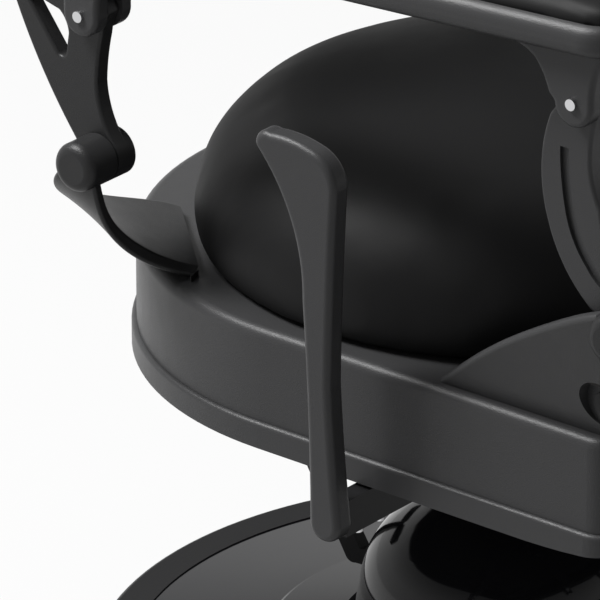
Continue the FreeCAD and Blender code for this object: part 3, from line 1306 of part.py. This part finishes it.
def check_and_write():
    """Stop on any failed object, then write every sub-part."""
    doc.recompute()
    bad = [item.Label for item in doc.Objects if "Invalid" in item.State or "Error" in item.State]
    if bad:
        raise RuntimeError("failed objects: " + ", ".join(bad))
    bad = [label for label, item in nodes.items() if item.Shape.isNull() or not item.Shape.isValid()]
    if bad:
        raise RuntimeError("bad shapes: " + ", ".join(bad))
    os.makedirs("parts", exist_ok=True)
    for label, item in nodes.items():
        item.Shape.exportStep("parts/%s.step" % label)
        print(label, len(item.Shape.Solids), round(item.Shape.Volume))


check_and_write()
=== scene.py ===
import bmesh
import bpy
import json
import math
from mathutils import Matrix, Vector


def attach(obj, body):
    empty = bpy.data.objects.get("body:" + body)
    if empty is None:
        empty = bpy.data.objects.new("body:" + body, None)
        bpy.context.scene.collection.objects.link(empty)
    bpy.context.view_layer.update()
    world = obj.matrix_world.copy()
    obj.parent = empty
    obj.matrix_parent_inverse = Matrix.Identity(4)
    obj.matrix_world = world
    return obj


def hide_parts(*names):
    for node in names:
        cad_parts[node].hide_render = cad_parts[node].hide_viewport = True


# Looks of the barber chair: finishes, soft pads, floor, light and the photograph's camera.
# Metres. +Z is up, the chair faces -Y and the sitter's right hand is on the -X side.

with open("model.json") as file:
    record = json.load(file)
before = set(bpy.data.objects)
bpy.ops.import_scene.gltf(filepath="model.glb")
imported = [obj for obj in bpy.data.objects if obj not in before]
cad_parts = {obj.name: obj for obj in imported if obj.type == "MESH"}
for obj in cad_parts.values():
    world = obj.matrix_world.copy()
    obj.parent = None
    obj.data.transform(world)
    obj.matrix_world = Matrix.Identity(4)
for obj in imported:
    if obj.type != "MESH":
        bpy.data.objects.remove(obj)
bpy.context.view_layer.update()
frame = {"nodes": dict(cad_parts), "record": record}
scene = bpy.context.scene
nodes = frame["nodes"]


# Shader nodes

def map_range(tree, value, low, high, start=0.0, end=1.0):
    """Turn a value that runs from start to end into one that runs from low to high."""
    spread = tree.nodes.new("ShaderNodeMapRange")
    spread.inputs["From Min"].default_value = start
    spread.inputs["From Max"].default_value = end
    spread.inputs["To Min"].default_value = low
    spread.inputs["To Max"].default_value = high
    tree.links.new(value, spread.inputs["Value"])
    return spread.outputs["Result"]


def combine(tree, operation, first, second):
    """Work out one value from two."""
    maths = tree.nodes.new("ShaderNodeMath")
    maths.operation = operation
    tree.links.new(first, maths.inputs[0])
    tree.links.new(second, maths.inputs[1])
    return maths.outputs[0]


# Finishes

USUAL_SPECULAR = 0.5
DULL_SPECULAR = 0.2
ROUGH_CHANGE = 0.15
EVEN = (1.0, 1.0, 1.0)


def new_material(name, colour, rough, metal=0.0, specular=USUAL_SPECULAR):
    """Principled finish with its plain values on the shader's own sockets."""
    made = bpy.data.materials.new(name)
    made.use_nodes = True
    shader = made.node_tree.nodes["Principled BSDF"]
    shader.inputs["Base Color"].default_value = (*colour, 1.0)
    shader.inputs["Roughness"].default_value = rough
    shader.inputs["Metallic"].default_value = metal
    shader.inputs["Specular IOR Level"].default_value = specular
    return made, shader


def object_noise(made, scale, detail, stretch=EVEN):
    """Noise that sits still on the object."""
    tree = made.node_tree
    place = tree.nodes.new("ShaderNodeTexCoord")
    mapping = tree.nodes.new("ShaderNodeMapping")
    mapping.inputs["Scale"].default_value = stretch
    texture = tree.nodes.new("ShaderNodeTexNoise")
    texture.inputs["Scale"].default_value = scale
    texture.inputs["Detail"].default_value = detail
    tree.links.new(place.outputs["Object"], mapping.inputs["Vector"])
    tree.links.new(mapping.outputs["Vector"], texture.inputs["Vector"])
    return texture


def object_cells(made, scale):
    """Small cells, as in the grain of leather, that sit still on the object."""
    tree = made.node_tree
    place = tree.nodes.new("ShaderNodeTexCoord")
    texture = tree.nodes.new("ShaderNodeTexVoronoi")
    texture.inputs["Scale"].default_value = scale
    tree.links.new(place.outputs["Object"], texture.inputs["Vector"])
    return texture


def add_bump(made, shader, layers):
    """Chain of bumps, each a texture, a depth and a strength, the later ones on top of the earlier ones."""
    tree = made.node_tree
    last = None
    for texture, depth, strength in layers:
        bump = tree.nodes.new("ShaderNodeBump")
        bump.inputs["Distance"].default_value = depth
        bump.inputs["Strength"].default_value = strength
        tree.links.new(texture.outputs[0], bump.inputs["Height"])
        if last is not None:
            tree.links.new(last.outputs["Normal"], bump.inputs["Normal"])
        last = bump
    tree.links.new(last.outputs["Normal"], shader.inputs["Normal"])


def vary_rough(made, shader, texture, low, high):
    """Roughness that changes a little over the surface."""
    tree = made.node_tree
    tree.links.new(map_range(tree, texture.outputs[0], low, high), shader.inputs["Roughness"])


def powder_coat(name, colour):
    """Sandy coat with slight waves."""
    made, shader = new_material(name, colour, rough=0.38, specular=DULL_SPECULAR)
    grain = object_noise(made, scale=1100.0, detail=2.0)
    waves = object_noise(made, scale=60.0, detail=3.0)
    add_bump(made, shader, [(waves, 0.0003, 0.1), (grain, 0.0005, 0.45)])
    vary_rough(made, shader, waves, low=0.34, high=0.43)
    return made


def gloss_enamel():
    """Shiny black of the base and the bell cover."""
    made, shader = new_material("gloss_black_enamel", (0.006, 0.006, 0.007), rough=0.08, specular=0.32)
    waves = object_noise(made, scale=14.0, detail=2.0)
    add_bump(made, shader, [(waves, 0.0006, 0.1)])
    vary_rough(made, shader, waves, low=0.06, high=0.11)
    return made


def satin_enamel():
    """Smoother, darker coat."""
    made, shader = new_material("satin_black_enamel", (0.007, 0.007, 0.0075), rough=0.4,
                                specular=DULL_SPECULAR)
    grain = object_noise(made, scale=700.0, detail=2.0)
    add_bump(made, shader, [(grain, 0.0004, 0.2)])
    vary_rough(made, shader, grain, low=0.36, high=0.44)
    return made


def leather():
    """Black leather with a fine grain and faint creases."""
    made, shader = new_material("black_leather", (0.004, 0.004, 0.0042), rough=0.59, specular=0.16)
    grain = object_cells(made, scale=900.0)
    creases = object_noise(made, scale=22.0, detail=4.0, stretch=(1.0, 1.0, 0.5))
    add_bump(made, shader, [(creases, 0.002, 0.06), (grain, 0.0002, 0.12)])
    vary_rough(made, shader, creases, low=0.54, high=0.64)
    return made


def plain(name, colour, rough, metal, scale, depth):
    """Even finish with one fine grain."""
    specular = USUAL_SPECULAR if metal else DULL_SPECULAR
    made, shader = new_material(name, colour, rough, metal, specular)
    grain = object_noise(made, scale, detail=3.0)
    add_bump(made, shader, [(grain, depth, 0.3)])
    vary_rough(made, shader, grain, rough * (1.0 - ROUGH_CHANGE), rough * (1.0 + ROUGH_CHANGE))
    return made


FINISH = {
    "black_coat": powder_coat("black_powder_coat", (0.034, 0.034, 0.035)),
    # a second, darker copy of the black powder coat, used by the pieces listed under it in DARKER
    "darker_coat": powder_coat("darker_black_coat", (0.017, 0.017, 0.0175)),
    "gloss_black": gloss_enamel(),
    "satin_black": satin_enamel(),
    "black_leather": leather(),
    # name, colour, roughness, metal, scale and depth of the grain
    "plain_steel": plain("machined_steel", (0.62, 0.62, 0.63), 0.3, 1.0, 300.0, 0.0002),
    "bright_chrome": plain("hard_chrome", (0.8, 0.8, 0.82), 0.08, 1.0, 40.0, 0.0001),
    "frame_paint": plain("matt_black_paint", (0.02, 0.02, 0.02), 0.6, 0.0, 500.0, 0.0003),
    "bronze": plain("bearing_bronze", (0.5, 0.33, 0.15), 0.35, 1.0, 300.0, 0.0002),
    "black_board": plain("black_plywood", (0.02, 0.019, 0.018), 0.65, 0.0, 120.0, 0.0006),
    "black_rubber": plain("matt_rubber", (0.018, 0.018, 0.018), 0.75, 0.0, 700.0, 0.0004),
    "black_plastic": plain("moulded_plastic", (0.02, 0.02, 0.02), 0.5, 0.0, 500.0, 0.0002),
}
# coated pieces that are darker in the photograph than the rest
DARKER = {
    "satin_black": ("base_rim", "pedal_arm", "lever_bar", "bracket_bolts"),
    "darker_coat": ("back_casting_right", "back_casting_left", "rear_bracket_right", "rear_bracket_left",
                     "boss_caps"),
}


def dress(piece, finish):
    """Give a piece its one finish."""
    piece.data.materials.clear()
    piece.data.materials.append(FINISH[finish])


for subpart in frame["record"]["subparts"]:
    dress(nodes[subpart["node"]], subpart["material_slot"])
for finish, names in DARKER.items():
    for name in names:
        dress(nodes[name], finish)


# Soft pads: each pad's own solid, remeshed, filled like a cloth bag under pressure and smoothed

PADS = [
    # CAD node, body it rides on, voxel, cap on the swelling, rounds of smoothing, fill, way it faces
    ("seat_cushion", "seat", 0.007, 0.0022, 14, 0.9, (0.0, 0.0, 1.0)),
    ("back_cushion", "back", 0.007, 0.009, 4, 0.8, (0.0, -0.99, 0.139)),
    ("arm_pad_right", "arm_right", 0.004, 0.003, 4, 0.9, (0.0, 0.052, 0.9986)),
    ("arm_pad_left", "arm_left", 0.004, 0.003, 4, 0.9, (0.0, 0.052, 0.9986)),
    ("calf_pad", "leg_rest", 0.006, 0.007, 4, 0.8, (0.0, -1.0, 0.0)),
    ("headrest_pad", "headrest", 0.005, 0.007, 4, 0.8, (0.0, -0.99, 0.139)),
]
SMOOTHING = 0.5
REMESH_ROUNDS = 4
HELD_DEPTH = 0.004
SLACK_SHARE = 0.6
FILL_PRESSURE = 4.0
FILL_FRAMES = 20
WELTED = ("back_cushion", "calf_pad", "headrest_pad")
WELT_LEVEL = 0.36
WELT_RADIUS = 0.0032


def settle(piece):
    """Turn the modifiers into plain mesh."""
    graph = bpy.context.evaluated_depsgraph_get()
    made = bpy.data.meshes.new_from_object(piece.evaluated_get(graph))
    piece.modifiers.clear()
    piece.data = made


def add_smoothing(piece, rounds):
    smooth = piece.modifiers.new("Smooth", "SMOOTH")
    smooth.factor = SMOOTHING
    smooth.iterations = rounds


def shade_smooth(mesh):
    for face in mesh.polygons:
        face.use_smooth = True


def remesh(piece, voxel):
    """Even mesh for the cloth."""
    change = piece.modifiers.new("Remesh", "REMESH")
    change.mode = "VOXEL"
    change.voxel_size = voxel
    add_smoothing(piece, REMESH_ROUNDS)
    settle(piece)


def fill(piece, cap, facing):
    """Swell the pad as a bag under pressure; the side it lies on stays where it is."""
    mesh = piece.data
    way = Vector(facing)
    lowest = min(vertex.co.dot(way) for vertex in mesh.vertices)
    normals = [vertex.normal.copy() for vertex in mesh.vertices]
    held = [vertex.co.dot(way) < lowest + HELD_DEPTH for vertex in mesh.vertices]
    group = piece.vertex_groups.new(name="held")
    group.add([number for number, stays in enumerate(held) if stays], 1.0, "REPLACE")
    for vertex, normal, stays in zip(mesh.vertices, normals, held):
        if not stays:
            vertex.co -= normal * cap * SLACK_SHARE
    slack = [vertex.co.copy() for vertex in mesh.vertices]
    cloth = piece.modifiers.new("Cloth", "CLOTH")
    cloth.settings.use_pressure = True
    cloth.settings.uniform_pressure_force = FILL_PRESSURE
    cloth.settings.vertex_group_mass = "held"
    cloth.settings.effector_weights.gravity = 0.0
    cloth.point_cache.frame_start = 1
    cloth.point_cache.frame_end = FILL_FRAMES
    for number in range(1, FILL_FRAMES + 1):
        scene.frame_set(number)
    settle(piece)
    scene.frame_set(1)
    for vertex, start in zip(piece.data.vertices, slack):
        step = vertex.co - start
        if step.length > cap:
            vertex.co = start + step * (cap / step.length)
    piece.vertex_groups.clear()


def refine(piece, rounds):
    """Smooth the filled pad and split its faces once."""
    add_smoothing(piece, rounds)
    finer = piece.modifiers.new("Subdivision", "SUBSURF")
    finer.levels = 1
    settle(piece)
    shade_smooth(piece.data)


def ordered(edges):
    """Places of the vertices along a closed ring of edges."""
    near = {}
    for edge in edges:
        first, last = edge.verts
        near.setdefault(first, []).append(last)
        near.setdefault(last, []).append(first)
    begin = edges[0].verts[0]
    places = [begin.co.copy()]
    before, here = begin, near[begin][0]
    while here is not begin:
        places.append(here.co.copy())
        after = [other for other in near[here] if other is not before]
        before, here = here, after[0]
    return places


def section(mesh, way, level):
    """Ring of places where a plane across the given way cuts the mesh."""
    form = bmesh.new()
    form.from_mesh(mesh)
    cut = bmesh.ops.bisect_plane(form, geom=form.verts[:] + form.edges[:] + form.faces[:],
                                 plane_co=way * level, plane_no=way)
    places = ordered([item for item in cut["geom_cut"] if isinstance(item, bmesh.types.BMEdge)])
    form.free()
    return places


def piping(places):
    """Mesh of closed round piping through the places."""
    curve = bpy.data.curves.new("welt", "CURVE")
    curve.dimensions = "3D"
    curve.bevel_depth = WELT_RADIUS
    curve.bevel_resolution = 3
    spline = curve.splines.new("POLY")
    spline.points.add(len(places) - 1)
    for spot, place in zip(spline.points, places):
        spot.co = (*place, 1.0)
    spline.use_cyclic_u = True
    line = bpy.data.objects.new("welt_line", curve)
    scene.collection.objects.link(line)
    graph = bpy.context.evaluated_depsgraph_get()
    made = bpy.data.meshes.new_from_object(line.evaluated_get(graph))
    bpy.data.objects.remove(line)
    shade_smooth(made)
    return made


def make_welt(pad, name, body, facing):
    """Sewn welt round the pad."""
    way = Vector(facing)
    heights = [vertex.co.dot(way) for vertex in pad.data.vertices]
    level = min(heights) + WELT_LEVEL * (max(heights) - min(heights))
    welt = bpy.data.objects.new("welt_" + name, piping(section(pad.data, way, level)))
    scene.collection.objects.link(welt)
    dress(welt, "black_leather")
    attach(welt, body)


def make_pad(name, body, voxel, cap, rounds, fullness, facing):
    """Soft pad in the place of its CAD solid."""
    piece = bpy.data.objects.new("soft_" + name, nodes[name].data.copy())
    scene.collection.objects.link(piece)
    remesh(piece, voxel)
    fill(piece, cap, facing)
    refine(piece, rounds)
    dress(piece, "black_leather")
    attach(piece, body)
    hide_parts(name)
    if name in WELTED:
        make_welt(piece, name, body, facing)


for row in PADS:
    make_pad(*row)


# Floor, light and camera

FLOOR_SIZE = 60.0
FLOOR_DROP = 0.0005
FLOOR_COLOUR = (0.45, 0.45, 0.45)
FLOOR_GLOW = 0.9
# the pale wall's direction, and the cosines to it over which the wall is palest and under which it is dimmest
WALL_SIDE = (0.15, 0.99, 0.0)
WALL_PALE_FROM = 0.9
WALL_DIM_FROM = -0.4
WALL_PALE = 0.72
WALL_DIM = 0.5
# the sines of height at which the walls begin to darken and at which the ceiling is darkest
WALL_TOP = 0.25
CEILING_FROM = 0.85
CEILING_SHARE = 0.1
KEY_PLACE = (-1.15, 1.5, 2.95)
KEY_TARGET = (0.0, 0.1, 0.4)
KEY_SIZE = 1.1
KEY_POWER = 190.0
CAMERA_TARGET = (-0.103, 0.1276, 0.326)
CAMERA_TURN = math.radians(51.0)
CAMERA_RISE = math.radians(24.0)
CAMERA_REACH = 6.0
CAMERA_LENS = 454.0
CAMERA_SENSOR = 36.0
CAMERA_FAR = 100.0


def seen_directly(tree):
    """1 for what the camera or a mirror sees, 0 for what only lights the object."""
    path = tree.nodes.new("ShaderNodeLightPath")
    mirrored = combine(tree, "MAXIMUM", path.outputs["Is Camera Ray"], path.outputs["Is Glossy Ray"])
    return combine(tree, "MAXIMUM", mirrored, path.outputs["Is Transmission Ray"])


def make_floor():
    """Pale floor that looks white and keeps the object's shadow."""
    bpy.ops.mesh.primitive_plane_add(size=FLOOR_SIZE, location=(0.0, 0.0, -FLOOR_DROP))
    floor = bpy.context.object
    floor.name = "studio_floor"
    made, shader = new_material("studio_white", FLOOR_COLOUR, rough=0.9, specular=0.0)
    tree = made.node_tree
    glow = tree.nodes.new("ShaderNodeEmission")
    glow.inputs["Strength"].default_value = 1.0
    mix = tree.nodes.new("ShaderNodeMixShader")
    tree.links.new(map_range(tree, seen_directly(tree), 0.0, FLOOR_GLOW), mix.inputs["Fac"])
    tree.links.new(shader.outputs["BSDF"], mix.inputs[1])
    tree.links.new(glow.outputs["Emission"], mix.inputs[2])
    tree.links.new(mix.outputs["Shader"], tree.nodes["Material Output"].inputs["Surface"])
    floor.data.materials.append(made)


def make_world():
    """Studio walls, pale behind the chair and dimmer in front of it, under a dark ceiling."""
    world = bpy.data.worlds.new("studio")
    scene.world = world
    world.use_nodes = True
    tree = world.node_tree
    tree.nodes.clear()
    out = tree.nodes.new("ShaderNodeOutputWorld")
    light = tree.nodes.new("ShaderNodeBackground")
    light.inputs["Color"].default_value = (1.0, 1.0, 1.0, 1.0)
    place = tree.nodes.new("ShaderNodeTexCoord")
    facing = tree.nodes.new("ShaderNodeVectorMath")
    facing.operation = "DOT_PRODUCT"
    facing.inputs[1].default_value = WALL_SIDE
    tree.links.new(place.outputs["Generated"], facing.inputs[0])
    apart = tree.nodes.new("ShaderNodeSeparateXYZ")
    tree.links.new(place.outputs["Generated"], apart.inputs["Vector"])
    wall = map_range(tree, facing.outputs["Value"], WALL_DIM, WALL_PALE, WALL_DIM_FROM, WALL_PALE_FROM)
    upward = map_range(tree, apart.outputs["Z"], 1.0, CEILING_SHARE, WALL_TOP, CEILING_FROM)
    tree.links.new(combine(tree, "MULTIPLY", wall, upward), light.inputs["Strength"])
    tree.links.new(light.outputs["Background"], out.inputs["Surface"])


def aim(thing, target):
    """Turn a lamp or camera to a place."""
    way = Vector(target) - thing.location
    thing.rotation_euler = way.to_track_quat("-Z", "Y").to_euler()


def make_key():
    """Square softbox above and behind the chair on the sitter's right, for the light along the edges."""
    data = bpy.data.lights.new("key_left", "AREA")
    data.shape = "RECTANGLE"
    data.size = KEY_SIZE
    data.size_y = KEY_SIZE
    data.energy = KEY_POWER
    lamp = bpy.data.objects.new("key_left", data)
    lamp.location = KEY_PLACE
    scene.collection.objects.link(lamp)
    aim(lamp, KEY_TARGET)


def make_camera():
    """Camera of the photograph."""
    data = bpy.data.cameras.new("photo_camera")
    data.sensor_width = CAMERA_SENSOR
    data.lens = CAMERA_LENS
    data.clip_end = CAMERA_FAR
    camera = bpy.data.objects.new("photo_camera", data)
    level = CAMERA_REACH * math.cos(CAMERA_RISE)
    height = CAMERA_REACH * math.sin(CAMERA_RISE)
    away = Vector((-level * math.sin(CAMERA_TURN), -level * math.cos(CAMERA_TURN), height))
    camera.location = Vector(CAMERA_TARGET) + away
    scene.collection.objects.link(camera)
    aim(camera, CAMERA_TARGET)
    scene.camera = camera


make_floor()
make_world()
make_key()
make_camera()
scene.view_settings.view_transform = "Standard"
